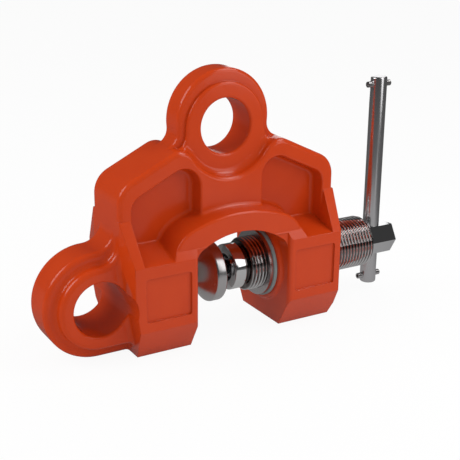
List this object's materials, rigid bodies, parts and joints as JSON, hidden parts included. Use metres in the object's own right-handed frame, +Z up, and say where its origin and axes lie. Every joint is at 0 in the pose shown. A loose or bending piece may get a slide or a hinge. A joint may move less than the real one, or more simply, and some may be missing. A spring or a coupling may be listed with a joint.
{
  "type": "multi-directional screw lifting clamp",
  "caption": "Forged screw clamp with a lifting eye on top and one at the side, a swivel pad on a threaded screw and a sliding tommy bar.",
  "frame": {"origin": "in the throat's mouth, level with the leg bottoms and straight below the top eye's axis, on the forging's parting plane", "axes": "+Z up; +X along the screw from the jaw towards its hexagon; -Y is the front, and the two eyes' axes run along Y"},
  "size_m": [0.3124, 0.081, 0.202],
  "materials": {
    "orange_paint": "satin coat on forged steel",
    "polished_steel": "bright plated steel",
    "hardened_steel": "hardened and tempered",
    "black_steel": "blackened",
    "grey_spacer": "matte"
  },
  "bodies": {
    "frame": {"clamp_body": "orange_paint", "fixed_jaw_pad": "hardened_steel", "fixed_pad_screw": "black_steel", "thread_bush": "polished_steel", "bush_ring": "grey_spacer", "bush_lock_screw": "black_steel"},
    "screw_seat": {"thrust_seat": "hardened_steel"},
    "screw": {"screw_spindle": "polished_steel", "retaining_circlip": "black_steel"},
    "bar": {"tommy_bar": "polished_steel", "lower_stop_pin": "polished_steel", "upper_stop_pin": "polished_steel"},
    "ball_cup": {"ball_washer": "hardened_steel"},
    "pad": {"swivel_pad": "polished_steel", "ball_stud": "polished_steel", "stud_pin": "hardened_steel"}
  },
  "joints": [
    {"name": "screw_feed", "type": "slide", "parent": "frame", "child": "screw_seat", "axis": [1, 0, 0], "range_m": [-0.0095, 0.03]},
    {"name": "screw_turn", "type": "hinge", "parent": "screw_seat", "child": "screw", "pos_m": [0, 0, 0.045], "axis": [1, 0, 0], "range_deg": [-1140, 3600]},
    {"name": "bar_slide", "type": "slide", "parent": "screw", "child": "bar", "axis": [0, 0, 1], "range_m": [-0.1164, 0.0178]},
    {"name": "pad_tilt_y", "type": "hinge", "parent": "screw_seat", "child": "ball_cup", "pos_m": [0.017, 0, 0.045], "axis": [0, 1, 0], "range_deg": [-6, 6]},
    {"name": "pad_tilt_z", "type": "hinge", "parent": "ball_cup", "child": "pad", "pos_m": [0.017, 0, 0.045], "axis": [0, 0, 1], "range_deg": [-6, 6]}
  ],
  "couplings": [
    {"joint": "screw_feed", "follows": "screw_turn", "m_per_rad": 0.00047746}
  ]
}
